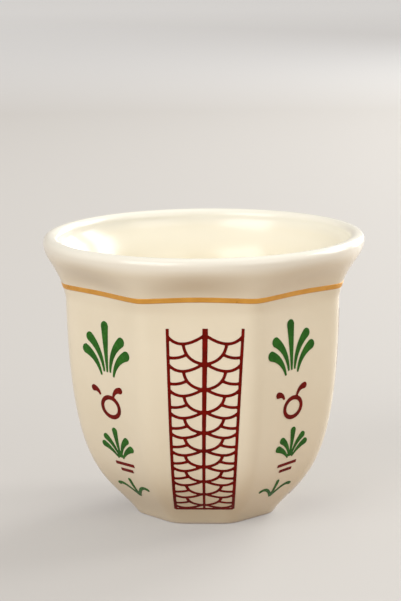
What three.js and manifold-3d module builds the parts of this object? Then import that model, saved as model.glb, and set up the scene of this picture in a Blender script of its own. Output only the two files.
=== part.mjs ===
// A small porcelain coffee cup without a handle: eight soft facets that turn into a round flared rim,
// a gilt line under the flare, and enamel transfers fired onto the facets.
import * as THREE from 'three';
import { mergeVertices } from 'three/addons/utils/BufferGeometryUtils.js';
import Module from 'manifold-3d';

// Sizes of the porcelain body, in millimetres and degrees
const HEIGHT = 57.3;
const RIM_DIAMETER = 65;
const LIP_THICKNESS = 2.9;
const FLARE_HEIGHT = 12.2;
const FLARE_PULL = 5.2;
const LIP_PULL = 4.9;
const FADE_BELOW_RIM = 10.5;
const ROUND_BELOW_RIM = 4.3;
const COVE_BELOW_RIM = 6.4;
const COVE_REACH = 4.8;
const COVE_DEPTH = 1.1;
const FACETS = 8;
const FACET_EDGE_RADIUS = 5.5;
const WALL_FLATS = 54.5;
const WALL_LEAN = 0.55;
const WALL_PULL = 37;
const WALL_THICKNESS = 2.5;
const FOOT_FLATS = 28.3;
const FOOT_LEAN = 34;
const FOOT_PULL = 9.8;
const FOOT_EDGE_RADIUS = 0.8;
const FLOOR_THICKNESS = 3.4;
const WELL_LIP_PULL = 2.9;
const WELL_FLARE_PULL = 4.5;
const WELL_SIDE_PULL = 36;
const WELL_FLOOR_PULL = 19;
const RECESS_DIAMETER = 20;
const RECESS_DEPTH = 1.6;
const RECESS_DRAFT = 0.8;

// Sizes of the gilt line
const GILT_WIDTH = 1.05;
const GILT_BELOW_RIM = 8.9;
const GILT_RISE = 0.4;
const GILT_GAP = 0.1;

// Sizes of the enamel film and of the flat sheet that the transfers are drawn on
const FILM_GAP = 0.05;
const FILM_THICKNESS = 0.08;
const SHEET_HEIGHT = 41.1;
const PRINT_ABOVE_FOOT = 5;
const PRINT_BELOW_FLARE = 2.1;

// Sizes of the scale column: two borders, a stem and rows of hanging scales
const COLUMN_TOP_WIDTH = 14.6;
const COLUMN_FOOT_WIDTH = 11.4;
const COLUMN_LINE = 0.58;
const BORDER_RISE = 1.5;
const STEM_TOP_LINE = 1.1;
const STEM_FOOT_LINE = 0.6;
const SCALE_ROWS = 9;
const FIRST_ROW_PITCH = 5.6;
const LAST_ROW_PITCH = 3.65;
const ROW_SHRINK = 0.915;
const SCALE_SAG = 0.28;
const SCALE_BEND = 0.66;
const SCALE_STEM_RISE = 0.25;
const INNER_SCALE_START = 0.5;
const INNER_BEND = 0.52;
const INNER_BEND_RISE = 0.1;
const SMALL_SCALE_MEET = 0.35;
const SMALL_SCALE_FALL = 0.1;
const SMALL_SCALE_SAG = 0.08;

// Sizes of the sprig column: leaves, ring with drops, strokes and a bottom sprig, each hung below the last
const FROND_HEIGHT = 10.3;
const FROND_SIDE_HEIGHT = [7.2, 4.4];
const FROND_SIDE_SPREAD = [5.25, 6.65];
const FROND_BASE_STEP = 0.85;
const FROND_BASE_DROP = 0.8;
const LEAF_BEND_OUT = 1.5;
const LEAF_BEND_UP = 0.6;
const LEAF_WIDTH = 2.05;
const LEAF_BASE_WIDTH = 0.5;
const RING_WIDTH = 5.45;
const RING_HEIGHT = 4.9;
const RING_LINE = 0.9;
const RING_BELOW_FROND = 7.3;
const DROP_WIDTH = 1.4;
const DROP_TAIL_WIDTH = 0.5;
const DROP_BEND = 0.2;
const FREE_DROP_SPREAD = 5;
const FREE_DROP_RISE = 3.45;
const FREE_DROP_LENGTH = 2.4;
const FREE_DROP_FALL = 1.2;
const RING_DROP_SPREAD = 3.9;
const RING_DROP_RISE = 3.9;
const RING_DROP_ANGLE = 68;
const LOWER_FROND_BELOW_RING = 11;
const LOWER_FROND_HEIGHT = 6.6;
const LOWER_SIDE_HEIGHT = [4.6, 2.75];
const LOWER_SIDE_SPREAD = [3.5, 4.5];
const LOWER_BASE_STEP = 0.3;
const LOWER_BASE_DROP = 0.25;
const LOWER_LEAF_WIDTH = 1.35;
const LOWER_LEAF_BASE_WIDTH = 0.4;
const STROKE_LINE = 0.7;
const UPPER_STROKE_LENGTH = 5.3;
const UPPER_STROKE_BELOW_FROND = 1.6;
const LOWER_STROKE_LENGTH = 3.5;
const STROKE_PITCH = 1.5;
const SPRIG_BELOW_STROKE = 7.1;
const SPRIG_HEIGHT = 5.1;
const SPRIG_SPREAD = 4.5;
const SPRIG_TIP_HEIGHT = 2.6;
const SPRIG_ARCH = 3.9;
const SPRIG_LEAF_WIDTH = 0.8;

// Each transfer lies a little off its facet's centre line, as it was laid by hand
const COLUMN_SHIFT = [0.85, 0, 0.4, -0.3];
const COLUMN_LEAN = [1.4, 0, -0.5, 0.8];
const SPRIG_SHIFT = [-0.35, -0.3, 0.4, 1.05];
const SPRIG_TURN = [4.4, -1, 0.8, 1];

// How far each mark of a sprig column strays from its drawn place on each facet, across and up
const FROND_STRAY = [[-0.5, 0.6], [0.1, 0], [-0.1, 0.1], [0.1, 0]];
const RING_STRAY = [[0, 0], [-0.1, 0.1], [0.1, 0], [0, 0]];
const LOWER_FROND_STRAY = [[0.5, 0.1], [0.2, 0], [0, 0.1], [-0.1, 0.1]];
const STROKE_STRAY = [[0.2, -0.1], [0.1, 0], [-0.1, 0], [0.5, 0.25]];
const BOTTOM_SPRIG_STRAY = [[-0.7, -0.5], [-0.2, 0], [0.2, -0.2], [-0.3, 0.1]];

// Fineness of the facets
const ROUND_STEPS = 48;
const CORNER_CROWDING = 0.75;
const WALL_STEPS = 7;
const FLARE_STEPS = 8;
const LIP_STEPS = 6;
const WELL_STEPS = 6;
const EDGE_STEPS = 2;
const SCALE_STEPS = 3;
const SMALL_SCALE_STEPS = 2;
const LEAF_STEPS = 3;
const TIP_STEPS = 3;
const RING_STEPS = 14;

const PORCELAIN = { color: 0xe9dcc4, roughness: 0.18, metalness: 0 };
const GILT = { color: 0xc08a3a, roughness: 0.35, metalness: 0.6 };
const RED_ENAMEL = { color: 0x7a1410, roughness: 0.3, metalness: 0 };
const GREEN_ENAMEL = { color: 0x266e23, roughness: 0.3, metalness: 0 };

const wasm = await Module();
wasm.setup();

const radians = THREE.MathUtils.degToRad;
const point = (x, y) => new THREE.Vector2(x, y);
const halfFacet = Math.PI / FACETS;

// Heights and radii that follow from the driving sizes
const rimRadius = RIM_DIAMETER / 2;
const lipRadius = LIP_THICKNESS / 2;
const lipHeight = HEIGHT - lipRadius;
const flareFoot = HEIGHT - FLARE_HEIGHT;
const fadeFrom = HEIGHT - FADE_BELOW_RIM;
const roundFrom = HEIGHT - ROUND_BELOW_RIM;
const coveHeight = HEIGHT - COVE_BELOW_RIM;
const floorHeight = RECESS_DEPTH + FLOOR_THICKNESS;
const wallLean = point(Math.sin(radians(WALL_LEAN)), Math.cos(radians(WALL_LEAN)));
const footLean = point(Math.sin(radians(FOOT_LEAN)), Math.cos(radians(FOOT_LEAN)));

// The outside in the middle of a facet: a wall that curves in to the foot, and a flare up to the lip
const footEdgeCentre = point(FOOT_FLATS / 2 - FOOT_EDGE_RADIUS * footLean.y, FOOT_EDGE_RADIUS);
const wallFoot = point(FOOT_FLATS / 2, FOOT_EDGE_RADIUS * (1 - footLean.x));
const wallTop = point(WALL_FLATS / 2, flareFoot);
const wall = new THREE.CubicBezierCurve(
  wallFoot,
  wallFoot.clone().addScaledVector(footLean, FOOT_PULL),
  wallTop.clone().addScaledVector(wallLean, -WALL_PULL),
  wallTop,
);
const flare = new THREE.CubicBezierCurve(
  wallTop,
  wallTop.clone().addScaledVector(wallLean, FLARE_PULL),
  point(rimRadius, lipHeight - LIP_PULL),
  point(rimRadius, lipHeight),
);

// The inside, which is round all the way down
const wellTop = point(wallTop.x - WALL_THICKNESS, flareFoot);
const innerLip = point(rimRadius - LIP_THICKNESS, lipHeight);
const innerFlare = new THREE.CubicBezierCurve(
  innerLip,
  point(innerLip.x, lipHeight - WELL_LIP_PULL),
  wellTop.clone().addScaledVector(wallLean, WELL_FLARE_PULL),
  wellTop,
);
const well = new THREE.CubicBezierCurve(
  wellTop,
  wellTop.clone().addScaledVector(wallLean, -WELL_SIDE_PULL),
  point(WELL_FLOOR_PULL, floorHeight),
  point(0, floorHeight),
);

function arcPoints(centre, radius, from, to, steps) {
  const arc = new THREE.ArcCurve(centre.x, centre.y, radius, radians(from), radians(to), to < from);
  return arc.getPoints(steps);
}

// How far a height still belongs to the octagon: 1 on the wall, fading to 0 where the flare is round
function facetShare(height) {
  return 1 - THREE.MathUtils.smoothstep(height, fadeFrom, roundFrom);
}

// Each facet ends in a cove scooped out of the flare, deepest in its middle, with a ridge on either side
function coveDepth(height, angle) {
  const away = THREE.MathUtils.clamp((height - coveHeight) / COVE_REACH, -1, 1);
  const across = Math.cos(FACETS * angle / 2) ** 2;
  return COVE_DEPTH * across * (1 + Math.cos(Math.PI * away)) / 2;
}

// Radius of an octagon with rounded corners, whose flats lie at the given distance from the axis
function octagonRadius(flat, angle) {
  const facet = Math.round(angle / (2 * halfFacet));
  const fromMiddle = Math.abs(angle - facet * 2 * halfFacet);
  const edgeRadius = Math.min(FACET_EDGE_RADIUS, flat / 2);
  const edgeStart = Math.atan((flat - edgeRadius) * Math.tan(halfFacet) / flat);
  if (fromMiddle <= edgeStart) return flat / Math.cos(fromMiddle);
  const edgeCentre = (flat - edgeRadius) / Math.cos(halfFacet);
  const fromCorner = halfFacet - fromMiddle;
  const across = edgeCentre * Math.sin(fromCorner);
  return edgeCentre * Math.cos(fromCorner) + Math.sqrt(edgeRadius ** 2 - across ** 2);
}

// Lathe steps crowd towards the facet edges where the section is an octagon
function facetAngle(angle, share) {
  return angle + share * CORNER_CROWDING * Math.sin(FACETS * angle) / FACETS;
}

// Distance of the outside from the axis at an angle, for a point of the profile in the middle of a facet
function facetRadius({ x: flat, y: height }, angle) {
  const faceted = THREE.MathUtils.lerp(flat, octagonRadius(flat, angle), facetShare(height));
  return faceted - coveDepth(height, angle);
}

function barePositions(geometry) {
  geometry.deleteAttribute('normal');
  geometry.deleteAttribute('uv');
  return mergeVertices(geometry, 1e-4);
}

// A turned profile, each of whose points may be moved to a new angle, radius and height
function turned(profile, place) {
  const geometry = new THREE.LatheGeometry(profile, ROUND_STEPS);
  const position = geometry.attributes.position;
  for (let step = 0; step <= ROUND_STEPS; step += 1) {
    const turn = 2 * Math.PI * (step % ROUND_STEPS) / ROUND_STEPS;
    profile.forEach((at, index) => {
      const { angle, radius, height } = place(at, turn, index);
      const vertex = step * profile.length + index;
      position.setXYZ(vertex, radius * Math.sin(angle), -radius * Math.cos(angle), height);
    });
  }
  return barePositions(geometry);
}

function solidOf(geometry) {
  const bare = barePositions(geometry);
  const vertProperties = new Float32Array(bare.attributes.position.array);
  const triVerts = new Uint32Array(bare.index.array);
  return new wasm.Manifold(new wasm.Mesh({ numProp: 3, vertProperties, triVerts }));
}

function geometryOf(solid) {
  const { vertProperties, triVerts } = solid.getMesh();
  const geometry = new THREE.BufferGeometry();
  geometry.setAttribute('position', new THREE.BufferAttribute(vertProperties, 3));
  geometry.setIndex(new THREE.BufferAttribute(triVerts, 1));
  geometry.computeVertexNormals();
  return geometry;
}

const cup = new THREE.Group();

function addPiece(name, geometry, look, parent = cup) {
  const piece = new THREE.Mesh(geometry, new THREE.MeshStandardMaterial(look));
  piece.name = name;
  parent.add(piece);
  return piece;
}

// Porcelain body: recessed foot ring, faceted wall, flare, thick round lip and round well
const underside = [
  point(0, RECESS_DEPTH),
  point(RECESS_DIAMETER / 2 - RECESS_DRAFT, RECESS_DEPTH),
  point(RECESS_DIAMETER / 2, 0),
];
const footEdge = arcPoints(footEdgeCentre, FOOT_EDGE_RADIUS, -90, -FOOT_LEAN, EDGE_STEPS);
const wallPoints = wall.getPoints(WALL_STEPS);
const flarePoints = flare.getPoints(FLARE_STEPS);
const lipCentre = point(rimRadius - lipRadius, lipHeight);
const outside = [...footEdge, ...wallPoints.slice(1), ...flarePoints.slice(1)];
const inside = [
  ...arcPoints(lipCentre, lipRadius, 0, 180, LIP_STEPS).slice(1),
  ...innerFlare.getPoints(FLARE_STEPS / 2).slice(1),
  ...well.getPoints(WELL_STEPS).slice(1),
];
const bodyProfile = [...underside, ...outside, ...inside];

function placeOnBody(at, turn, index) {
  const faceted = index >= underside.length && index < underside.length + outside.length;
  if (!faceted) return { angle: turn, radius: at.x, height: at.y };
  const angle = facetAngle(turn, facetShare(at.y));
  return { angle, radius: facetRadius(at, angle), height: at.y };
}

addPiece('cup_body', turned(bodyProfile, placeOnBody), PORCELAIN);

// Gilt line: a thin band on the flare that rises a little in the middle of each facet
function surfaceRadius(height, angle) {
  const above = outside.findIndex((at) => at.y > height);
  const [low, high] = [outside[above - 1], outside[above]];
  return THREE.MathUtils.mapLinear(height, low.y, high.y, facetRadius(low, angle), facetRadius(high, angle));
}

const giltInner = GILT_GAP;
const giltOuter = GILT_GAP + FILM_THICKNESS;
const giltSection = [
  point(giltInner, -GILT_WIDTH / 2),
  point(giltOuter, -GILT_WIDTH / 2),
  point(giltOuter, GILT_WIDTH / 2),
  point(giltInner, GILT_WIDTH / 2),
  point(giltInner, -GILT_WIDTH / 2),
];

function placeOnFlare(at, turn) {
  const middle = HEIGHT - GILT_BELOW_RIM;
  const angle = facetAngle(turn, facetShare(middle));
  const height = middle + at.y + GILT_RISE * Math.abs(Math.cos(FACETS * angle / 2));
  return { angle, radius: surfaceRadius(height, angle) + at.x, height };
}

addPiece('gilt_line', turned(giltSection, placeOnFlare), GILT);

// A transfer is drawn flat, across and up from its foot, then laid on the wall of the front facet
const wallLength = wall.getLength();
const sheetStretch = (wallLength - PRINT_ABOVE_FOOT - PRINT_BELOW_FLARE) / SHEET_HEIGHT;

const sheetMiddle = point(0, SHEET_HEIGHT / 2);

function layOnWall(drawn, { shift, lift, lean, turn }) {
  const at = drawn.clone().rotateAround(sheetMiddle, radians(turn));
  const along = PRINT_ABOVE_FOOT + (at.y + lift) * sheetStretch;
  const across = at.x + shift + (at.y - sheetMiddle.y) * Math.tan(radians(lean));
  return point(across, wall.getPointAt(along / wallLength).y);
}

// The film that hugs the wall, as wide as a facet, from which every transfer is cut
function filmEdge(offset) {
  return wallPoints.map((at, index) => {
    const tangent = wall.getTangent(index / WALL_STEPS);
    return point(at.x + tangent.y * offset, at.y - tangent.x * offset);
  });
}

const filmOutline = [...filmEdge(FILM_GAP + FILM_THICKNESS), ...filmEdge(FILM_GAP).reverse()];
const filmGeometry = new THREE.ExtrudeGeometry(new THREE.Shape(filmOutline), {
  depth: WALL_FLATS,
  bevelEnabled: false,
});
const outward = new THREE.Vector3(0, -1, 0);
const upward = new THREE.Vector3(0, 0, 1);
const leftward = new THREE.Vector3(-1, 0, 0);
const rightward = new THREE.Vector3(1, 0, 0);
filmGeometry.translate(0, 0, -WALL_FLATS / 2);
filmGeometry.applyMatrix4(new THREE.Matrix4().makeBasis(outward, upward, leftward));
const film = solidOf(filmGeometry);

function prism(outline, hole) {
  const shape = new THREE.Shape(outline);
  if (hole) shape.holes.push(new THREE.Path(hole));
  const geometry = new THREE.ExtrudeGeometry(shape, { depth: rimRadius, bevelEnabled: false });
  geometry.applyMatrix4(new THREE.Matrix4().makeBasis(rightward, upward, outward));
  return solidOf(geometry);
}

// Cuts the film to drawn outlines, joined where they overlap
function transfer(drawings, hand) {
  const lay = (outline) => outline.map((drawn) => layOnWall(drawn, hand));
  const prisms = drawings.map(({ outline, hole }) => prism(lay(outline), hole && lay(hole)));
  const joined = prisms.reduce((whole, part) => whole.add(part));
  return geometryOf(joined.intersect(film));
}

// A line along a curve, with its own width at each end
function ribbon(curve, steps, startWidth, endWidth = startWidth) {
  const left = [];
  const right = [];
  for (let step = 0; step <= steps; step += 1) {
    const share = step / steps;
    const at = curve.getPoint(share);
    const tangent = curve.getTangent(share);
    const half = THREE.MathUtils.lerp(startWidth, endWidth, share) / 2;
    left.push(point(at.x - tangent.y * half, at.y + tangent.x * half));
    right.push(point(at.x + tangent.y * half, at.y - tangent.x * half));
  }
  return { outline: [...right, ...left.reverse()] };
}

// A club-shaped leaf: narrow at its base, widening along a bent line to a round tip
function leaf(base, bend, tip, tipWidth, baseWidth) {
  const tipRadius = tipWidth / 2;
  const arrival = tip.clone().sub(bend).normalize();
  const end = tip.clone().addScaledVector(arrival, -tipRadius);
  const spine = new THREE.QuadraticBezierCurve(base, bend, end);
  const { outline } = ribbon(spine, LEAF_STEPS, baseWidth, tipWidth);
  const facing = THREE.MathUtils.radToDeg(arrival.angle());
  const round = arcPoints(end, tipRadius, facing - 90, facing + 90, TIP_STEPS).slice(1, -1);
  outline.splice(LEAF_STEPS + 1, 0, ...round);
  return { outline };
}

function straight(from, to) {
  return new THREE.LineCurve(from, to);
}

// Scale column: rows shrink downwards to a steady pitch, and fill the sheet from its top to its foot
function rowHeights() {
  const pitches = [];
  for (let row = 0; row < SCALE_ROWS; row += 1) {
    pitches.push(Math.max(FIRST_ROW_PITCH * ROW_SHRINK ** row, LAST_ROW_PITCH));
  }
  const heights = [SHEET_HEIGHT - BORDER_RISE];
  pitches.forEach((pitch) => heights.push(heights.at(-1) - pitch));
  return heights;
}

function columnHalfWidth(v) {
  return THREE.MathUtils.mapLinear(v, 0, SHEET_HEIGHT, COLUMN_FOOT_WIDTH, COLUMN_TOP_WIDTH) / 2;
}

// A big scale hangs from the border to the stem
function bigScale(top, pitch, side) {
  const border = side * columnHalfWidth(top);
  const dip = point(border * SCALE_BEND, top - 2 * SCALE_SAG * pitch);
  return new THREE.QuadraticBezierCurve(point(border, top), dip, point(0, top + SCALE_STEM_RISE));
}

function scaleRow(top, next, side) {
  const pitch = top - next;
  const big = bigScale(top, pitch, side);
  const innerBend = point(big.v0.x * INNER_BEND, next + INNER_BEND_RISE * pitch);
  const inner = new THREE.QuadraticBezierCurve(big.getPoint(INNER_SCALE_START), innerBend, point(0, next));
  const meet = inner.getPoint(SMALL_SCALE_MEET);
  const smallHeight = meet.y - SMALL_SCALE_FALL * pitch;
  const smallBorder = side * columnHalfWidth(smallHeight);
  const smallDip = point((smallBorder + meet.x) / 2, smallHeight - SMALL_SCALE_SAG * pitch);
  const small = new THREE.QuadraticBezierCurve(point(smallBorder, smallHeight), smallDip, meet);
  return [
    ribbon(big, SCALE_STEPS, COLUMN_LINE),
    ribbon(inner, SCALE_STEPS, COLUMN_LINE),
    ribbon(small, SMALL_SCALE_STEPS, COLUMN_LINE),
  ];
}

function scaleColumn() {
  const heights = rowHeights();
  const topHalf = COLUMN_TOP_WIDTH / 2;
  const footHalf = COLUMN_FOOT_WIDTH / 2;
  const drawings = [
    ribbon(straight(point(-topHalf, SHEET_HEIGHT), point(-footHalf, 0)), 1, COLUMN_LINE),
    ribbon(straight(point(topHalf, SHEET_HEIGHT), point(footHalf, 0)), 1, COLUMN_LINE),
    ribbon(straight(point(-footHalf, 0), point(footHalf, 0)), 1, COLUMN_LINE),
    ribbon(straight(point(0, SHEET_HEIGHT), point(0, 0)), 1, STEM_TOP_LINE, STEM_FOOT_LINE),
  ];
  for (let row = 0; row < SCALE_ROWS; row += 1) {
    drawings.push(...scaleRow(heights[row], heights[row + 1], -1));
    drawings.push(...scaleRow(heights[row], heights[row + 1], 1));
  }
  for (const side of [-1, 1]) {
    drawings.push(ribbon(bigScale(heights.at(-1), LAST_ROW_PITCH, side), SCALE_STEPS, COLUMN_LINE));
  }
  return drawings;
}

// Heights of the sprig column's marks on the sheet
const frondFoot = SHEET_HEIGHT - FROND_HEIGHT;
const ringHeight = frondFoot - RING_BELOW_FROND;
const lowerFrondFoot = ringHeight - LOWER_FROND_BELOW_RING;
const upperStrokeHeight = lowerFrondFoot - UPPER_STROKE_BELOW_FROND;
const lowerStrokeHeight = upperStrokeHeight - STROKE_PITCH;
const sprigFoot = lowerStrokeHeight - SPRIG_BELOW_STROKE;

// Sprig column: a fan of leaves is one upright leaf with pairs that lean out from beside it
function uprightLeaf(foot, height, width, baseWidth) {
  return leaf(point(0, foot), point(0, foot + height / 2), point(0, foot + height), width, baseWidth);
}

function fan(foot, height, sideHeights, sideSpreads, baseStep, baseDrop, width, baseWidth) {
  const leaves = [uprightLeaf(foot, height, width, baseWidth)];
  for (const side of [-1, 1]) {
    sideHeights.forEach((sideHeight, pair) => {
      const base = point(side * baseStep * (pair + 1), foot - baseDrop * pair);
      const bend = point(base.x * LEAF_BEND_OUT, foot + sideHeight * LEAF_BEND_UP);
      const tip = point(side * sideSpreads[pair], foot + sideHeight);
      leaves.push(leaf(base, bend, tip, width, baseWidth));
    });
  }
  return leaves;
}

function drop(tail, head) {
  const bend = point(THREE.MathUtils.lerp(tail.x, head.x, DROP_BEND), head.y);
  return leaf(tail, bend, head, DROP_WIDTH, DROP_TAIL_WIDTH);
}

function freeDrop() {
  const head = point(-FREE_DROP_SPREAD, ringHeight + FREE_DROP_RISE);
  return drop(point(head.x + FREE_DROP_LENGTH, head.y - FREE_DROP_FALL), head);
}

// The ring is an oval line, inset by so much from its outer edge
function ringOval(inset) {
  return new THREE.EllipseCurve(0, ringHeight, RING_WIDTH / 2 - inset, RING_HEIGHT / 2 - inset);
}

function ringDrop() {
  const tail = ringOval(RING_LINE / 2).getPoint(RING_DROP_ANGLE / 360);
  return drop(tail, point(RING_DROP_SPREAD, ringHeight + RING_DROP_RISE));
}

function ring() {
  const outline = ringOval(0).getPoints(RING_STEPS).slice(1);
  const hole = ringOval(RING_LINE).getPoints(RING_STEPS).slice(1);
  return { outline, hole };
}

function stroke(length, height) {
  return ribbon(straight(point(-length / 2, height), point(length / 2, height)), 1, STROKE_LINE);
}

function bottomSprig() {
  const base = point(0, sprigFoot);
  const leaves = [uprightLeaf(sprigFoot, SPRIG_HEIGHT, SPRIG_LEAF_WIDTH, LEAF_BASE_WIDTH)];
  for (const side of [-1, 1]) {
    const bend = point(side * SPRIG_SPREAD / 2, sprigFoot + SPRIG_ARCH);
    const tip = point(side * SPRIG_SPREAD, sprigFoot + SPRIG_TIP_HEIGHT);
    leaves.push(leaf(base, bend, tip, SPRIG_LEAF_WIDTH, LEAF_BASE_WIDTH));
  }
  return leaves;
}

// Lays the transfers: scale columns and sprig columns take turns around the cup
for (let pair = 0; pair < FACETS / 2; pair += 1) {
  const count = pair + 1;
  const laid = pair % COLUMN_SHIFT.length;
  const columnFacet = new THREE.Group();
  columnFacet.rotation.z = 4 * halfFacet * pair;
  cup.add(columnFacet);
  const columnHand = { shift: COLUMN_SHIFT[laid], lift: 0, lean: COLUMN_LEAN[laid], turn: 0 };
  addPiece(`scale_column_${count}`, transfer(scaleColumn(), columnHand), RED_ENAMEL, columnFacet);

  const sprigFacet = new THREE.Group();
  sprigFacet.rotation.z = 4 * halfFacet * pair + 2 * halfFacet;
  cup.add(sprigFacet);
  const laySprig = (name, drawings, look, strays) => {
    const [astray, lift] = strays[laid];
    const sprigHand = { shift: SPRIG_SHIFT[laid] + astray, lift, lean: 0, turn: SPRIG_TURN[laid] };
    addPiece(`sprig_${count}_${name}`, transfer(drawings, sprigHand), look, sprigFacet);
  };
  const frond = fan(frondFoot, FROND_HEIGHT, FROND_SIDE_HEIGHT, FROND_SIDE_SPREAD,
    FROND_BASE_STEP, FROND_BASE_DROP, LEAF_WIDTH, LEAF_BASE_WIDTH);
  frond.forEach((drawing, index) => laySprig(`leaf_${index + 1}`, [drawing], GREEN_ENAMEL, FROND_STRAY));
  laySprig('free_drop', [freeDrop()], RED_ENAMEL, RING_STRAY);
  laySprig('ring', [ring(), ringDrop()], RED_ENAMEL, RING_STRAY);
  const lowerFrond = fan(lowerFrondFoot, LOWER_FROND_HEIGHT, LOWER_SIDE_HEIGHT, LOWER_SIDE_SPREAD,
    LOWER_BASE_STEP, LOWER_BASE_DROP, LOWER_LEAF_WIDTH, LOWER_LEAF_BASE_WIDTH);
  laySprig('lower_frond', lowerFrond, GREEN_ENAMEL, LOWER_FROND_STRAY);
  laySprig('upper_stroke', [stroke(UPPER_STROKE_LENGTH, upperStrokeHeight)], RED_ENAMEL, STROKE_STRAY);
  laySprig('lower_stroke', [stroke(LOWER_STROKE_LENGTH, lowerStrokeHeight)], RED_ENAMEL, STROKE_STRAY);
  laySprig('bottom_sprig', bottomSprig(), GREEN_ENAMEL, BOTTOM_SPRIG_STRAY);
}

export default cup;
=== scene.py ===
import math
from bisect import bisect

import bpy
from mathutils import Matrix, Vector
from mathutils.geometry import interpolate_bezier


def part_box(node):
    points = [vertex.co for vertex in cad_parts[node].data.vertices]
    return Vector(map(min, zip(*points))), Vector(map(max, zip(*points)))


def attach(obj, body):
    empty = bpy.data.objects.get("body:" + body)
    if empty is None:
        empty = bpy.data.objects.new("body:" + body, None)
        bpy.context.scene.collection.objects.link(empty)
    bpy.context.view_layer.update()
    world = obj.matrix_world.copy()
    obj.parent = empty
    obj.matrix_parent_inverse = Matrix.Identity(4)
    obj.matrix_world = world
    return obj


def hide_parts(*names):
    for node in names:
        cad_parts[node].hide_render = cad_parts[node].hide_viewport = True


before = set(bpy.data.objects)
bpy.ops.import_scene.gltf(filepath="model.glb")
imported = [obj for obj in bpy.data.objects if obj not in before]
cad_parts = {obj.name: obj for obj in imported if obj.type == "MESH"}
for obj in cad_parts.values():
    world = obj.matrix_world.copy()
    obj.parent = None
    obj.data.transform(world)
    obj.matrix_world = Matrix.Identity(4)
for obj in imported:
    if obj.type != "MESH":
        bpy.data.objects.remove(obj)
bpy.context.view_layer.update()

# Cup body: one piece of porcelain, cast in a mould and dipped in a warm white glaze. Eight soft facets
# stand on an octagonal foot and turn into a round flared rim with a thick lip. The underside of the foot
# ring is wiped bare before firing, so that the cup doesn't stick to the kiln shelf.
body_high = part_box("cup_body")[1]
HEIGHT = body_high.z
RIM_RADIUS = body_high.x
# Sizes in metres, here and further on
LIP_RADIUS = 0.00145
FLARE_HEIGHT = 0.0122
FLARE_PULL = 0.0052
LIP_PULL = 0.0049
FADE_BELOW_RIM = 0.0105
ROUND_BELOW_RIM = 0.0043
COVE_BELOW_RIM = 0.0064
COVE_REACH = 0.0048
COVE_DEPTH = 0.0011
FACETS = 8
FACET_TURN = 2 * math.pi / FACETS
HALF_FACET = FACET_TURN / 2
FACET_EDGE_RADIUS = 0.0055
WALL_FLAT = 0.02725
WALL_LEAN = math.radians(0.55)
WALL_PULL = 0.037
WALL_THICKNESS = 0.0025
FOOT_FLAT = 0.01415
FOOT_LEAN = math.radians(34)
FOOT_PULL = 0.0098
FOOT_EDGE_RADIUS = 0.0008
WELL_FLOOR = 0.005
WELL_LIP_PULL = 0.0029
WELL_FLARE_PULL = 0.0045
WELL_SIDE_PULL = 0.036
WELL_FLOOR_PULL = 0.019
RECESS_RADIUS = 0.010
RECESS_DEPTH = 0.0016
RECESS_DRAFT = 0.0008
RECESS_EDGE = 0.0004
RECESS_EDGE_STEPS = 5
PROFILE_STEPS = 24
OUTSIDE_CURVES = 4
ROUND_STEPS = 192
CORNER_CROWDING = 0.75
MERGE_DISTANCE = 1e-6

flare_foot = HEIGHT - FLARE_HEIGHT
lip_height = HEIGHT - LIP_RADIUS
fade_from = HEIGHT - FADE_BELOW_RIM
round_from = HEIGHT - ROUND_BELOW_RIM
cove_height = HEIGHT - COVE_BELOW_RIM
outwards = Vector((1, 0, 0))
upwards = Vector((0, 0, 1))
wall_heading = Vector((math.sin(WALL_LEAN), 0, math.cos(WALL_LEAN)))
foot_heading = Vector((math.sin(FOOT_LEAN), 0, math.cos(FOOT_LEAN)))


def profile_point(radius, height):
    return Vector((radius, 0, height))


def arc_pull(radius, turn):
    """Length of the handles that make a Bezier curve follow an arc."""
    return radius * 4 / 3 * math.tan(turn / 4)


def select_only(*things):
    bpy.ops.object.select_all(action="DESELECT")
    for thing in things:
        thing.select_set(True)
    bpy.context.view_layer.objects.active = things[0]


def clean_skin(piece):
    """Merges a mesh where it meets itself, and turns its faces outwards."""
    select_only(piece)
    bpy.ops.object.mode_set(mode="EDIT")
    bpy.ops.mesh.select_all(action="SELECT")
    bpy.ops.mesh.remove_doubles(threshold=MERGE_DISTANCE)
    bpy.ops.mesh.normals_make_consistent(inside=False)
    bpy.ops.object.mode_set(mode="OBJECT")


wall_foot = profile_point(FOOT_FLAT, FOOT_EDGE_RADIUS * (1 - math.sin(FOOT_LEAN)))
wall_top = profile_point(WALL_FLAT, flare_foot)
foot_edge = profile_point(FOOT_FLAT - FOOT_EDGE_RADIUS * math.cos(FOOT_LEAN), 0)
foot_edge_pull = arc_pull(FOOT_EDGE_RADIUS, math.pi / 2 - FOOT_LEAN)
lip_pull = arc_pull(LIP_RADIUS, math.pi / 2)
lip_outside = profile_point(RIM_RADIUS, lip_height)
lip_top = profile_point(RIM_RADIUS - LIP_RADIUS, HEIGHT)
lip_inside = profile_point(RIM_RADIUS - 2 * LIP_RADIUS, lip_height)
well_top = profile_point(WALL_FLAT - WALL_THICKNESS, flare_foot)
wall_handles = (wall_foot + foot_heading * FOOT_PULL, wall_top - wall_heading * WALL_PULL)
flare_handles = (wall_top + wall_heading * FLARE_PULL, lip_outside - upwards * LIP_PULL)
wall_curve = (wall_foot, *wall_handles, wall_top)
flare_curve = (wall_top, *flare_handles, lip_outside)

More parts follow.
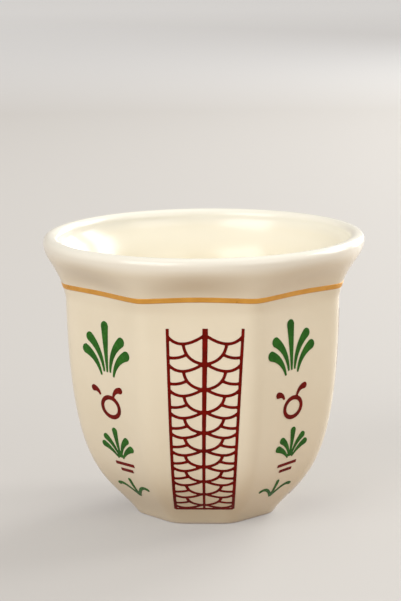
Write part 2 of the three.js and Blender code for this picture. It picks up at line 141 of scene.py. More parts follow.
# The profile from the middle of the underside to the middle of the well: handle, knot, handle
straight_knots = [
    profile_point(0, RECESS_DEPTH),
    profile_point(RECESS_RADIUS - RECESS_DRAFT, RECESS_DEPTH),
    profile_point(RECESS_RADIUS, 0),
]
curved_knots = [
    (None, foot_edge, foot_edge + outwards * foot_edge_pull),
    (wall_foot - foot_heading * foot_edge_pull, wall_foot, wall_handles[0]),
    (wall_handles[1], wall_top, flare_handles[0]),
    (flare_handles[1], lip_outside, lip_outside + upwards * lip_pull),
    (lip_top + outwards * lip_pull, lip_top, lip_top - outwards * lip_pull),
    (lip_inside + upwards * lip_pull, lip_inside, lip_inside - upwards * WELL_LIP_PULL),
    (well_top + wall_heading * WELL_FLARE_PULL, well_top, well_top - wall_heading * WELL_SIDE_PULL),
    (profile_point(WELL_FLOOR_PULL, WELL_FLOOR), profile_point(0, WELL_FLOOR), None),
]
knots = [(None, knot, None) for knot in straight_knots] + curved_knots

bpy.ops.object.select_all(action="DESELECT")
bpy.ops.curve.primitive_bezier_curve_add()
glazed_body = bpy.context.object
glazed_body.name = "glazed_cup_body"
glazed_body.data.resolution_u = PROFILE_STEPS
profile = glazed_body.data.splines[0]
profile.bezier_points.add(len(knots) - len(profile.bezier_points))
for bezier_point, (before, knot, after) in zip(profile.bezier_points, knots):
    bezier_point.co = knot
    bezier_point.handle_left_type = "FREE" if before else "VECTOR"
    bezier_point.handle_right_type = "FREE" if after else "VECTOR"
    bezier_point.handle_left = before or knot
    bezier_point.handle_right = after or knot
bpy.ops.object.convert(target="MESH")

# The outside, which is foot edge, wall, flare and the outer half of the lip, is marked before the profile
# is spun, because only the outside has facets
outside = glazed_body.vertex_groups.new(name="outside")
first_outside = len(straight_knots)
outside_count = OUTSIDE_CURVES * PROFILE_STEPS + 1
outside.add(range(first_outside, first_outside + outside_count), 1, "REPLACE")
bpy.ops.object.mode_set(mode="EDIT")
bpy.ops.mesh.select_all(action="DESELECT")
bpy.ops.object.mode_set(mode="OBJECT")
for recess_corner in glazed_body.data.vertices[1:first_outside]:
    recess_corner.select = True
bpy.ops.object.mode_set(mode="EDIT")
bpy.ops.mesh.select_mode(type="VERT")
bpy.ops.mesh.bevel(offset=RECESS_EDGE, segments=RECESS_EDGE_STEPS, affect="VERTICES")
bpy.ops.mesh.select_all(action="SELECT")
bpy.ops.mesh.spin(steps=ROUND_STEPS, angle=2 * math.pi, center=(0, 0, 0), axis=(0, 0, 1))
bpy.ops.object.mode_set(mode="OBJECT")
clean_skin(glazed_body)


def facet_share(height):
    """How far a height belongs to the octagon: 1 on the wall, fading to 0 where the flare is round."""
    rise = min(max((height - fade_from) / (round_from - fade_from), 0), 1)
    return 1 - rise * rise * (3 - 2 * rise)


def cove_depth(height, angle):
    """Depth of the cove that each facet ends in under the rim, with a ridge on either side."""
    away = min(max((height - cove_height) / COVE_REACH, -1), 1)
    across = math.cos(FACETS * angle / 2) ** 2
    return COVE_DEPTH * across * (1 + math.cos(math.pi * away)) / 2


def facet_radius(flat, angle, height):
    """Distance of the outside from the axis: an octagon with soft corners and coves that turns round."""
    from_middle = abs(angle - FACET_TURN * round(angle / FACET_TURN))
    edge_start = math.atan((flat - FACET_EDGE_RADIUS) * math.tan(HALF_FACET) / flat)
    if from_middle <= edge_start:
        octagon = flat / math.cos(from_middle)
    else:
        edge_centre = (flat - FACET_EDGE_RADIUS) / math.cos(HALF_FACET)
        from_corner = HALF_FACET - from_middle
        across = edge_centre * math.sin(from_corner)
        octagon = edge_centre * math.cos(from_corner) + math.sqrt(FACET_EDGE_RADIUS**2 - across**2)
    return flat + (octagon - flat) * facet_share(height) - cove_depth(height, angle)


def round_place(angle, radius, height):
    """A place by its angle from the front, its distance from the axis and its height."""
    return Vector((radius * math.sin(angle), -radius * math.cos(angle), height))


for vertex in glazed_body.data.vertices:
    if not vertex.groups:
        continue
    flat = math.hypot(vertex.co.x, vertex.co.y)
    height = vertex.co.z
    angle = math.atan2(vertex.co.x, -vertex.co.y)
    angle += facet_share(height) * CORNER_CROWDING * math.sin(FACETS * angle) / FACETS
    vertex.co = round_place(angle, facet_radius(flat, angle, height), height)
glazed_body.vertex_groups.clear()
select_only(glazed_body)
bpy.ops.object.shade_smooth()

# Glaze: warm white and glossy, a little uneven in tone, with a few specks and a soft ripple from firing.
# Painted light and shade in its colour: a paler tone towards the rim is painted light on the flare
# and the top of the well, a whiter one on the lip is a painted highlight, and a deeper one above the foot
# is painted shade.
GLAZE_COLOUR = (0.81, 0.755, 0.60, 1)
GLAZE_THIN_COLOUR = (0.86, 0.81, 0.665, 1)
# Painted light: a paler tone towards the rim, on the flare and the top of the well
PAINTED_RIM_LIGHT_COLOUR = (0.845, 0.81, 0.685, 1)
# Painted highlight: the whitest tone, on the lip
PAINTED_LIP_HIGHLIGHT_COLOUR = (0.86, 0.85, 0.775, 1)
# Painted shade: a deeper tone above the foot
PAINTED_FOOT_SHADE_COLOUR = (0.765, 0.70, 0.535, 1)
PAINTED_RIM_LIGHT_REACH = 0.0105
PAINTED_LIP_HIGHLIGHT_REACH = 0.0036
PAINTED_FOOT_SHADE_REACH = 0.013
PAINTED_TONE_SHARE = 0.85
SPECK_COLOUR = (0.30, 0.20, 0.11, 1)
BISCUIT_COLOUR = (0.72, 0.66, 0.56, 1)
BISCUIT_HEIGHT = (0.00035, 0.0007)
GLAZE_MOTTLE_SCALE = 55
GLAZE_RIPPLE_SCALE = 260
GLAZE_RIPPLE_HEIGHT = 0.000012
SPECK_SCALE = 190
SPECK_RADIUS = (0.022, 0.044)
SPECK_RARITY = 0.965
GLAZE_ROUGHNESS = (0.14, 0.24)
BISCUIT_ROUGHNESS = 0.85
TONE_DETAIL = 4
TONE_SPREAD = (0.3, 0.7)
RIPPLE_DETAIL = 2
# The sockets of a Mix node share their names, so its colours and its values are told apart by number
MIX_COLOURS_IN = (6, 7)
MIX_COLOUR_OUT = 2
MIX_VALUES_IN = (2, 3)


def new_material(name):
    """A material with a Principled shader: gives its node maker, its linker and the shader."""
    material = bpy.data.materials.new(name)
    material.use_nodes = True
    nodes = material.node_tree.nodes
    shader = nodes["Principled BSDF"]

    def node(kind, **settings):
        made = nodes.new(kind)
        for setting, value in settings.items():
            setattr(made, setting, value)
        return made

    return material, node, material.node_tree.links.new, shader


def firing_group():
    """Uneven tone and ripple that firing leaves in glaze, enamel and gilt alike."""
    group = bpy.data.node_groups.new("firing_unevenness", "ShaderNodeTree")
    group.interface.new_socket("Place", in_out="INPUT", socket_type="NodeSocketVector")
    group.interface.new_socket("Tone Scale", in_out="INPUT", socket_type="NodeSocketFloat")
    group.interface.new_socket("Ripple Scale", in_out="INPUT", socket_type="NodeSocketFloat")
    group.interface.new_socket("Tone", in_out="OUTPUT", socket_type="NodeSocketFloat")
    group.interface.new_socket("Ripple", in_out="OUTPUT", socket_type="NodeSocketFloat")
    given = group.nodes.new("NodeGroupInput")
    result = group.nodes.new("NodeGroupOutput")
    tone = group.nodes.new("ShaderNodeTexNoise")
    tone.inputs["Detail"].default_value = TONE_DETAIL
    spread = group.nodes.new("ShaderNodeMapRange")
    spread.inputs["From Min"].default_value = TONE_SPREAD[0]
    spread.inputs["From Max"].default_value = TONE_SPREAD[1]
    ripple = group.nodes.new("ShaderNodeTexNoise")
    ripple.inputs["Detail"].default_value = RIPPLE_DETAIL
    link = group.links.new
    link(given.outputs["Place"], tone.inputs["Vector"])
    link(given.outputs["Tone Scale"], tone.inputs["Scale"])
    link(given.outputs["Place"], ripple.inputs["Vector"])
    link(given.outputs["Ripple Scale"], ripple.inputs["Scale"])
    link(tone.outputs["Fac"], spread.inputs["Value"])
    link(spread.outputs["Result"], result.inputs["Tone"])
    link(ripple.outputs["Fac"], result.inputs["Ripple"])
    return group


firing_unevenness = firing_group()


def add_firing(node, link, place, tone_scale, ripple_scale):
    """Adds the firing group to a material, on the given coordinates."""
    firing = node("ShaderNodeGroup", node_tree=firing_unevenness)
    firing.inputs["Tone Scale"].default_value = tone_scale
    firing.inputs["Ripple Scale"].default_value = ripple_scale
    link(place, firing.inputs["Place"])
    return firing


def mix_colours(node, link, first, second, factor):
    """Mixes two colours, each a plain value or a socket, by a factor socket."""
    mix = node("ShaderNodeMix", data_type="RGBA")
    for number, colour in zip(MIX_COLOURS_IN, (first, second)):
        if isinstance(colour, tuple):
            mix.inputs[number].default_value = colour
        else:
            link(colour, mix.inputs[number])
    link(factor, mix.inputs["Factor"])
    return mix.outputs[MIX_COLOUR_OUT]


def map_range(node, link, value, low, high, to_low=0, to_high=1):
    """Maps a value socket from one range to another, and stops at its ends."""
    ranged = node("ShaderNodeMapRange")
    for name, number in (("From Min", low), ("From Max", high), ("To Min", to_low), ("To Max", to_high)):
        ranged.inputs[name].default_value = number
    link(value, ranged.inputs["Value"])
    return ranged.outputs["Result"]


def add_ripple_bump(node, link, shader, firing, height):
    bump = node("ShaderNodeBump")
    bump.inputs["Distance"].default_value = height
    link(firing.outputs["Ripple"], bump.inputs["Height"])
    link(bump.outputs["Normal"], shader.inputs["Normal"])


def paint_light_and_shade_by_height(node, link, glaze, up):
    """Painted light and shade in the glaze colour by height: each tone starts at one height and is
    complete at another.
    """
    painted_tones = [
        # Painted light towards the rim, painted highlight on the lip, painted shade above the foot
        (PAINTED_RIM_LIGHT_COLOUR, HEIGHT - PAINTED_RIM_LIGHT_REACH, HEIGHT - PAINTED_RIM_LIGHT_REACH / 2),
        (PAINTED_LIP_HIGHLIGHT_COLOUR, HEIGHT - PAINTED_LIP_HIGHLIGHT_REACH, HEIGHT - PAINTED_LIP_HIGHLIGHT_REACH / 2),
        (PAINTED_FOOT_SHADE_COLOUR, PAINTED_FOOT_SHADE_REACH, PAINTED_FOOT_SHADE_REACH / 3),
    ]
    for colour, start, complete in painted_tones:
        share = map_range(node, link, up, start, complete, 0, PAINTED_TONE_SHARE)
        glaze = mix_colours(node, link, glaze, colour, share)
    return glaze


def speck_mask(node, link, place):
    """A small round speck in the middle of a few cells of a Voronoi texture."""
    cells = node("ShaderNodeTexVoronoi")
    cells.inputs["Scale"].default_value = SPECK_SCALE
    link(place, cells.inputs["Vector"])
    dot = map_range(node, link, cells.outputs["Distance"], *SPECK_RADIUS, 1, 0)
    chance = node("ShaderNodeSeparateColor")
    link(cells.outputs["Color"], chance.inputs["Color"])
    chosen = node("ShaderNodeMath", operation="GREATER_THAN")
    link(chance.outputs["Red"], chosen.inputs[0])
    chosen.inputs[1].default_value = SPECK_RARITY
    speck = node("ShaderNodeMath", operation="MULTIPLY")
    link(dot, speck.inputs[0])
    link(chosen.outputs[0], speck.inputs[1])
    return speck.outputs[0]


def porcelain_material():
    material, node, link, shader = new_material("glazed_porcelain")
    place = node("ShaderNodeTexCoord").outputs["Object"]
    height = node("ShaderNodeSeparateXYZ")
    link(place, height.inputs["Vector"])
    up = height.outputs["Z"]
    firing = add_firing(node, link, place, GLAZE_MOTTLE_SCALE, GLAZE_RIPPLE_SCALE)
    mottled = mix_colours(node, link, GLAZE_COLOUR, GLAZE_THIN_COLOUR, firing.outputs["Tone"])
    # Glaze colour with painted light towards the rim and on the lip, and painted shade above the foot
    glaze = paint_light_and_shade_by_height(node, link, mottled, up)
    specked = mix_colours(node, link, glaze, SPECK_COLOUR, speck_mask(node, link, place))
    bare = map_range(node, link, up, *BISCUIT_HEIGHT, 1, 0)
    link(mix_colours(node, link, specked, BISCUIT_COLOUR, bare), shader.inputs["Base Color"])
    glossy = map_range(node, link, firing.outputs["Ripple"], 0, 1, *GLAZE_ROUGHNESS)
    dull = node("ShaderNodeMix", data_type="FLOAT")
    link(bare, dull.inputs["Factor"])
    link(glossy, dull.inputs[MIX_VALUES_IN[0]])
    dull.inputs[MIX_VALUES_IN[1]].default_value = BISCUIT_ROUGHNESS
    link(dull.outputs["Result"], shader.inputs["Roughness"])
    add_ripple_bump(node, link, shader, firing, GLAZE_RIPPLE_HEIGHT)
    return material


def dress(piece, material, slot, *cad_nodes):
    """Gives a piece its material, lets it ride on the cup and stand for its CAD nodes."""
    piece.data.materials.clear()
    piece.data.materials.append(material)
    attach(piece, "root")
    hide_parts(*cad_nodes)


dress(glazed_body, porcelain_material(), "porcelain", "cup_body")

# Gilt line: gold lustre banded onto the glaze with a brush while the cup turns, then fired. It lies on
# the foot of the flare and rises a little in the middle of each facet, not in all of them alike. The
# rises are given from the front facet round by the right.
GILT_WIDTH = 0.00105
GILT_BELOW_RIM = 0.0089
GILT_RISE = [0.0003, 0.0002, 0.0004, 0.0003, 0.0004, 0.0004, 0.0003, 0.00005]
GILT_STEPS = 384
GILT_SECTION_STEPS = 12
FILM_LIFT = 0.000015
FILM_THICKNESS = 0.00006
FILM_EDGE = 0.00015
CURVE_SAMPLES = 200

flare_points = interpolate_bezier(*flare_curve, CURVE_SAMPLES)
flare_heights = [place.z for place in flare_points]
gilt_middle = HEIGHT - GILT_BELOW_RIM


def flare_flat(height):
    """Distance of the flare from the axis, in the middle of a facet."""
    above = bisect(flare_heights, height)
    low, high = flare_points[above - 1], flare_points[above]
    return low.x + (high.x - low.x) * (height - low.z) / (high.z - low.z)


def film_height(depth):
    """Height over the glaze of a fired film, whose edges are soft: depth is 0 at the edge."""
    return FILM_LIFT + FILM_THICKNESS * min(max(depth / FILM_EDGE, 0), 1)


bpy.ops.object.select_all(action="DESELECT")
bpy.ops.mesh.primitive_torus_add(
    major_radius=WALL_FLAT,
    minor_radius=GILT_WIDTH / 2,
    major_segments=GILT_STEPS,
    minor_segments=GILT_SECTION_STEPS,
)
gold_line = bpy.context.object
gold_line.name = "gold_lustre_line"
for vertex in gold_line.data.vertices:
    angle = math.atan2(vertex.co.x, -vertex.co.y)
    rise = GILT_RISE[round(angle / FACET_TURN) % FACETS]
    height = gilt_middle + vertex.co.z + rise * abs(math.cos(FACETS * angle / 2))
    depth = math.hypot(vertex.co.x, vertex.co.y) - WALL_FLAT
    radius = facet_radius(flare_flat(height), angle, height) + film_height(depth)
    vertex.co = round_place(angle, radius, height)
clean_skin(gold_line)
bpy.ops.object.shade_smooth()

GOLD_COLOUR = (0.80, 0.41, 0.07, 1)
GOLD_THIN_COLOUR = (0.70, 0.33, 0.045, 1)
GOLD_TONE_SCALE = 420
GOLD_RIPPLE_SCALE = 2200
GOLD_RIPPLE_HEIGHT = 0.000004
GOLD_METALLIC = 0.4
GOLD_ROUGHNESS = (0.26, 0.42)


def gold_material():
    material, node, link, shader = new_material("gold_lustre")
    place = node("ShaderNodeTexCoord").outputs["Object"]
    firing = add_firing(node, link, place, GOLD_TONE_SCALE, GOLD_RIPPLE_SCALE)
    gold = mix_colours(node, link, GOLD_THIN_COLOUR, GOLD_COLOUR, firing.outputs["Tone"])
    link(gold, shader.inputs["Base Color"])
    rough = map_range(node, link, firing.outputs["Tone"], 0, 1, *GOLD_ROUGHNESS)
    link(rough, shader.inputs["Roughness"])
    shader.inputs["Metallic"].default_value = GOLD_METALLIC
    add_ripple_bump(node, link, shader, firing, GOLD_RIPPLE_HEIGHT)
    return material


dress(gold_line, gold_material(), "gilt", "gilt_line")

# Scale columns: dark red enamel printed on transfer paper, slid wet onto every second facet and fired.
# Two borders and a stem carry rows of hanging scales that get smaller towards the foot. Each column's
# shift and lean are its own, as laid by hand.
SHEET_HEIGHT = 0.0411
PRINT_ABOVE_FOOT = 0.005
PRINT_BELOW_FLARE = 0.0021
COLUMN_TOP_WIDTH = 0.0146
COLUMN_FOOT_WIDTH = 0.0114
COLUMN_LINE = 0.00062
BORDER_RISE = 0.0015
STEM_TOP_LINE = 0.0011
STEM_FOOT_LINE = 0.00048
SCALE_ROWS = 9
FIRST_ROW_PITCH = 0.0056
LAST_ROW_PITCH = 0.00365
ROW_SHRINK = 0.915
SCALE_SAG = 0.28
SCALE_BEND = 0.66
SCALE_STEM_RISE = 0.00025
INNER_SCALE_START = 0.5
INNER_BEND = 0.52
INNER_BEND_RISE = 0.1
SMALL_SCALE_MEET = 0.35
SMALL_SCALE_FALL = 0.1
SMALL_SCALE_SAG = 0.08
COLUMN_SHIFT = [0.00085, 0, 0.0004, -0.0003]
COLUMN_LEAN = [1.4, 0, -0.5, 0.8]
STROKE_STEPS = 14
CORD_SECTION = 4
FILM_VOXEL = 0.0001
FILM_KEPT_FACES = 0.35

wall_points = interpolate_bezier(*wall_curve, CURVE_SAMPLES)
wall_marks = [0.0]
for lower, upper in zip(wall_points, wall_points[1:]):
    wall_marks.append(wall_marks[-1] + (upper - lower).length)
wall_length = wall_marks[-1]
sheet_stretch = (wall_length - PRINT_ABOVE_FOOT - PRINT_BELOW_FLARE) / SHEET_HEIGHT


def sheet_point(across, up):
    """A point of the flat transfer sheet, which stands upright while it is drawn on."""
    return Vector((across, 0, up))


sheet_middle = sheet_point(0, SHEET_HEIGHT / 2)


def bent_line(start, bend, end, share):
    """The place at a share of the way along a line that bends once."""
    return start * (1 - share) ** 2 + bend * 2 * share * (1 - share) + end * share**2


def curve_stroke(start, bend, end, start_width, end_width):
    """A brush stroke along a bent line: points of the line with the stroke's width at each."""
    stroke = []
    for step in range(STROKE_STEPS + 1):
        share = step / STROKE_STEPS
        width = start_width + (end_width - start_width) * share
        stroke.append((bent_line(start, bend, end, share), width))
    return stroke


def line_stroke(start, end, start_width, end_width):
    return [(start, start_width), (end, end_width)]


def draw_film(name, strokes):
    """Draws strokes as round cords on the flat sheet and melts them into one skin."""
    drawing = bpy.data.curves.new(name, "CURVE")
    drawing.dimensions = "3D"
    # With a depth of 1, the radius of each point is the radius of the cord there
    drawing.bevel_depth = 1
    drawing.bevel_resolution = CORD_SECTION
    drawing.use_fill_caps = True
    for stroke in strokes:
        spline = drawing.splines.new("POLY")
        spline.points.add(len(stroke) - 1)
        for spline_point, (place, width) in zip(spline.points, stroke):
            spline_point.co = (*place, 1)
            spline_point.radius = width / 2
        spline.use_cyclic_u = stroke[0][0] == stroke[-1][0]
    film = bpy.data.objects.new(name, drawing)
    bpy.context.scene.collection.objects.link(film)
    select_only(film)
    bpy.ops.object.convert(target="MESH")
    melt = film.modifiers.new("melt", "REMESH")
    melt.mode = "VOXEL"
    melt.voxel_size = FILM_VOXEL
    bpy.ops.object.modifier_apply(modifier=melt.name)
    return film


def on_front_facet(across, along, lift):
    """The place on the front facet that lies so far across and so far up along the wall."""
    above = min(max(bisect(wall_marks, along), 1), CURVE_SAMPLES - 1)
    low, high = wall_points[above - 1], wall_points[above]
    share = (along - wall_marks[above - 1]) / (wall_marks[above] - wall_marks[above - 1])
    place = low.lerp(high, share)
    slope = (high - low).normalized()
    soft_from = (place.x - FACET_EDGE_RADIUS) * math.tan(HALF_FACET)
    into_edge = max(abs(across) - soft_from, 0)
    edge_drop = FACET_EDGE_RADIUS - math.sqrt(FACET_EDGE_RADIUS**2 - into_edge**2)
    return Vector((across, -(place.x - edge_drop + slope.z * lift), place.z - slope.x * lift))


def lay_film(drawn, name, facet_angle, shift, lift=0, lean=0, turn=0, stretch=1):
    """Lays a copy of a drawn film on a facet, a little off its place, askew and stretched as by hand.

    Lean and turn are in degrees.
    """
    film = drawn.copy()
    film.data = drawn.data.copy()
    film.name = name
    bpy.context.scene.collection.objects.link(film)
    to_facet = Matrix.Rotation(facet_angle, 3, "Z")
    askew = Matrix.Rotation(-math.radians(turn), 3, "Y")
    skew = math.tan(math.radians(lean))
    for vertex in film.data.vertices:
        from_middle = askew @ (vertex.co - sheet_middle)
        across = from_middle.x * stretch + shift + from_middle.z * skew
        along = PRINT_ABOVE_FOOT + (sheet_middle.z + from_middle.z + lift) * sheet_stretch
        vertex.co = to_facet @ on_front_facet(across, along, film_height(-vertex.co.y))
    select_only(film)
    thin = film.modifiers.new("thin", "DECIMATE")
    thin.ratio = FILM_KEPT_FACES
    bpy.ops.object.modifier_apply(modifier=thin.name)
    bpy.ops.object.shade_smooth()
    return film


def column_half_width(up):
    return (COLUMN_FOOT_WIDTH + (COLUMN_TOP_WIDTH - COLUMN_FOOT_WIDTH) * up / SHEET_HEIGHT) / 2


def big_scale(top, pitch, side):
    """Start, bend and end of a big scale, which hangs from the border to the stem."""
    border = side * column_half_width(top)
    dip = sheet_point(border * SCALE_BEND, top - 2 * SCALE_SAG * pitch)
    return sheet_point(border, top), dip, sheet_point(0, top + SCALE_STEM_RISE)


def scale_row(top, following, side):
    """One side of a row: a big scale, the inner edge of the next one and a small scale."""
    pitch = top - following
    big = big_scale(top, pitch, side)
    inner_bend = sheet_point(big[0].x * INNER_BEND, following + INNER_BEND_RISE * pitch)
    inner = (bent_line(*big, INNER_SCALE_START), inner_bend, sheet_point(0, following))
    meet = bent_line(*inner, SMALL_SCALE_MEET)
    small_height = meet.z - SMALL_SCALE_FALL * pitch
    small_border = side * column_half_width(small_height)
    small_dip = sheet_point((small_border + meet.x) / 2, small_height - SMALL_SCALE_SAG * pitch)
    return [
        curve_stroke(*big, COLUMN_LINE, COLUMN_LINE),
        curve_stroke(*inner, COLUMN_LINE, COLUMN_LINE),
        curve_stroke(sheet_point(small_border, small_height), small_dip, meet, COLUMN_LINE, COLUMN_LINE),
    ]


def scale_column_strokes():
    top_half = COLUMN_TOP_WIDTH / 2
    foot_half = COLUMN_FOOT_WIDTH / 2
    left_foot = sheet_point(-foot_half, 0)
    right_foot = sheet_point(foot_half, 0)
    strokes = [
        line_stroke(sheet_point(-top_half, SHEET_HEIGHT), left_foot, COLUMN_LINE, COLUMN_LINE),
        line_stroke(sheet_point(top_half, SHEET_HEIGHT), right_foot, COLUMN_LINE, COLUMN_LINE),
        line_stroke(left_foot, right_foot, COLUMN_LINE, COLUMN_LINE),
        line_stroke(sheet_point(0, SHEET_HEIGHT), sheet_point(0, 0), STEM_TOP_LINE, STEM_FOOT_LINE),
    ]
    top = SHEET_HEIGHT - BORDER_RISE
    for row in range(SCALE_ROWS):
        following = top - max(FIRST_ROW_PITCH * ROW_SHRINK**row, LAST_ROW_PITCH)
        strokes += scale_row(top, following, -1) + scale_row(top, following, 1)
        top = following
    for side in (-1, 1):
        strokes.append(curve_stroke(*big_scale(top, LAST_ROW_PITCH, side), COLUMN_LINE, COLUMN_LINE))
    return strokes


RED_COLOUR = (0.19, 0.0045, 0.0013, 1)
RED_DEEP_COLOUR = (0.12, 0.003, 0.001, 1)
ENAMEL_TONE_SCALE = 500
ENAMEL_RIPPLE_SCALE = 1500
ENAMEL_RIPPLE_HEIGHT = 0.000005
ENAMEL_ROUGHNESS = (0.20, 0.34)
ENAMEL_SPECULAR = 0.08


def enamel_material(name, colour, deep_colour):
    material, node, link, shader = new_material(name)
    place = node("ShaderNodeTexCoord").outputs["Object"]
    firing = add_firing(node, link, place, ENAMEL_TONE_SCALE, ENAMEL_RIPPLE_SCALE)
    enamel = mix_colours(node, link, deep_colour, colour, firing.outputs["Tone"])
    link(enamel, shader.inputs["Base Color"])
    rough = map_range(node, link, firing.outputs["Ripple"], 0, 1, *ENAMEL_ROUGHNESS)
    link(rough, shader.inputs["Roughness"])
    shader.inputs["Specular IOR Level"].default_value = ENAMEL_SPECULAR
    add_ripple_bump(node, link, shader, firing, ENAMEL_RIPPLE_HEIGHT)
    return material


red_enamel = enamel_material("fired_red_enamel", RED_COLOUR, RED_DEEP_COLOUR)
drawn_column = draw_film("drawn_scale_column", scale_column_strokes())
for pair in range(FACETS // 2):
    node_name = f"scale_column_{pair + 1}"
    facet_angle = FACET_TURN * 2 * pair
    laid_name = f"fired_{node_name}"
    column = lay_film(drawn_column, laid_name, facet_angle, COLUMN_SHIFT[pair], lean=COLUMN_LEAN[pair])
    dress(column, red_enamel, "red_enamel", node_name)
bpy.data.objects.remove(drawn_column)

# Sprig columns: green and red enamel on the facets between. A fan of five leaves stands over a ring with
# a joined drop and a free drop, a smaller frond, two strokes and a three-leaved sprig near the foot.
FROND_HEIGHT = 0.0103
FROND_SIDE_HEIGHT = [0.0072, 0.0044]
FROND_SIDE_SPREAD = [0.00525, 0.00665]
FROND_BASE_STEP = 0.00085
FROND_BASE_DROP = 0.0008
FROND_BEND_OUT = 1.5
LEAF_BEND_UP = 0.6
LEAF_WIDTH = 0.00205
LEAF_BASE_WIDTH = 0.0005
RING_WIDTH = 0.0057
RING_HEIGHT = 0.005
RING_LINE = 0.00092
RING_BELOW_FROND = 0.0073
RING_STEPS = 48
DROP_WIDTH = 0.0014
DROP_TAIL_WIDTH = 0.0005
DROP_BEND = 0.2
FREE_DROP_SPREAD = 0.005
FREE_DROP_RISE = 0.00345
FREE_DROP_LENGTH = 0.0024
FREE_DROP_FALL = 0.0012
RING_DROP_SPREAD = 0.0039
RING_DROP_RISE = 0.0039
RING_DROP_ANGLE = math.radians(68)
LOWER_FROND_BELOW_RING = 0.011
LOWER_FROND_HEIGHT = 0.0066
LOWER_SIDE_HEIGHT = [0.0046, 0.00275]
LOWER_SIDE_SPREAD = [0.0035, 0.0045]
LOWER_BEND_OUT = 3
LOWER_BASE_STEP = 0.0003
LOWER_BASE_DROP = 0.00025
LOWER_LEAF_WIDTH = 0.0015
LOWER_LEAF_BASE_WIDTH = 0.00032
STROKE_LINE = 0.00076
UPPER_STROKE_LENGTH = 0.0053
UPPER_STROKE_BELOW_FROND = 0.0016
LOWER_STROKE_LENGTH = 0.0035
STROKE_PITCH = 0.0015
SPRIG_BELOW_STROKE = 0.0071
SPRIG_HEIGHT = 0.0051
SPRIG_SPREAD = 0.0045
SPRIG_TIP_HEIGHT = 0.0026
SPRIG_ARCH = 0.0039
SPRIG_LEAF_WIDTH = 0.0009
SPRIG_BASE_WIDTH = 0.00065
SPRIG_SHIFT = [-0.00035, -0.0003, 0.0004, 0.00105]
SPRIG_TURN = [4.4, -1, 0.8, 1]
SPRIG_STRETCH = [0.93, 1, 1.01, 1.05]
TIP_STEPS = 6
# How far each mark strays on each facet, across and up
FROND_STRAY = [(-0.0005, 0.0006), (0.0001, 0), (-0.0001, 0.0001), (0.0001, 0)]
RING_STRAY = [(0, 0), (-0.0001, 0.0001), (0.0001, 0), (0, 0)]
LOWER_FROND_STRAY = [(0.0005, 0.0001), (0.0002, 0), (0, 0.0001), (-0.0001, 0.0001)]
STROKE_STRAY = [(0.0002, -0.0001), (0.0001, 0), (-0.0001, 0), (0.0005, 0.00025)]
BOTTOM_SPRIG_STRAY = [(-0.0007, -0.0005), (-0.0002, 0), (0.0002, -0.0002), (-0.0003, 0.0001)]

frond_foot = SHEET_HEIGHT - FROND_HEIGHT
ring_height = frond_foot - RING_BELOW_FROND
lower_frond_foot = ring_height - LOWER_FROND_BELOW_RING
upper_stroke_height = lower_frond_foot - UPPER_STROKE_BELOW_FROND
lower_stroke_height = upper_stroke_height - STROKE_PITCH
sprig_foot = lower_stroke_height - SPRIG_BELOW_STROKE


def leaf(base, bend, tip, tip_width, base_width):
    """A club-shaped leaf: narrow at its base, widening along a bent line to a round tip."""
    arrival = (tip - bend).normalized()
    tip_radius = tip_width / 2
    end = tip - arrival * tip_radius
    stroke = curve_stroke(base, bend, end, base_width, tip_width)
    for step in range(1, TIP_STEPS + 1):
        turn = math.pi / 2 * step / TIP_STEPS
        stroke.append((end + arrival * tip_radius * math.sin(turn), tip_width * math.cos(turn)))
    return stroke


def upright_leaf(foot, height, width, base_width):
    middle = sheet_point(0, foot + height / 2)
    return leaf(sheet_point(0, foot), middle, sheet_point(0, foot + height), width, base_width)


def fan(foot, height, side_heights, side_spreads, bend_out, base_step, base_drop, width, base_width):
    """One upright leaf, with pairs of leaves that lean out from beside it."""
    leaves = [upright_leaf(foot, height, width, base_width)]
    for side in (-1, 1):
        for pair, (side_height, side_spread) in enumerate(zip(side_heights, side_spreads)):
            base = sheet_point(side * base_step * (pair + 1), foot - base_drop * pair)
            bend = sheet_point(base.x * bend_out, foot + side_height * LEAF_BEND_UP)
            tip = sheet_point(side * side_spread, foot + side_height)
            leaves.append(leaf(base, bend, tip, width, base_width))
    return leaves


def drop(tail, head):
    bend = sheet_point(tail.x + (head.x - tail.x) * DROP_BEND, head.z)
    return leaf(tail, bend, head, DROP_WIDTH, DROP_TAIL_WIDTH)


def free_drop():
    head = sheet_point(-FREE_DROP_SPREAD, ring_height + FREE_DROP_RISE)
    tail = sheet_point(head.x + FREE_DROP_LENGTH, head.z - FREE_DROP_FALL)
    return drop(tail, head)


def ring_place(angle):
    """A place in the middle of the oval ring's line."""
    across = (RING_WIDTH - RING_LINE) / 2 * math.cos(angle)
    up = (RING_HEIGHT - RING_LINE) / 2 * math.sin(angle)
    return sheet_point(across, ring_height + up)


def ring():
    return [(ring_place(2 * math.pi * step / RING_STEPS), RING_LINE) for step in range(RING_STEPS + 1)]


def ring_drop():
    head = sheet_point(RING_DROP_SPREAD, ring_height + RING_DROP_RISE)
    return drop(ring_place(RING_DROP_ANGLE), head)


def level_stroke(length, height):
    left = sheet_point(-length / 2, height)
    right = sheet_point(length / 2, height)
    return line_stroke(left, right, STROKE_LINE, STROKE_LINE)


def bottom_sprig():
    base = sheet_point(0, sprig_foot)
    leaves = [upright_leaf(sprig_foot, SPRIG_HEIGHT, SPRIG_LEAF_WIDTH, SPRIG_BASE_WIDTH)]
    for side in (-1, 1):
        bend = sheet_point(side * SPRIG_SPREAD / 2, sprig_foot + SPRIG_ARCH)
        tip = sheet_point(side * SPRIG_SPREAD, sprig_foot + SPRIG_TIP_HEIGHT)
        leaves.append(leaf(base, bend, tip, SPRIG_LEAF_WIDTH, SPRIG_BASE_WIDTH))
    return leaves


GREEN_COLOUR = (0.032, 0.165, 0.018, 1)
GREEN_DEEP_COLOUR = (0.018, 0.10, 0.012, 1)

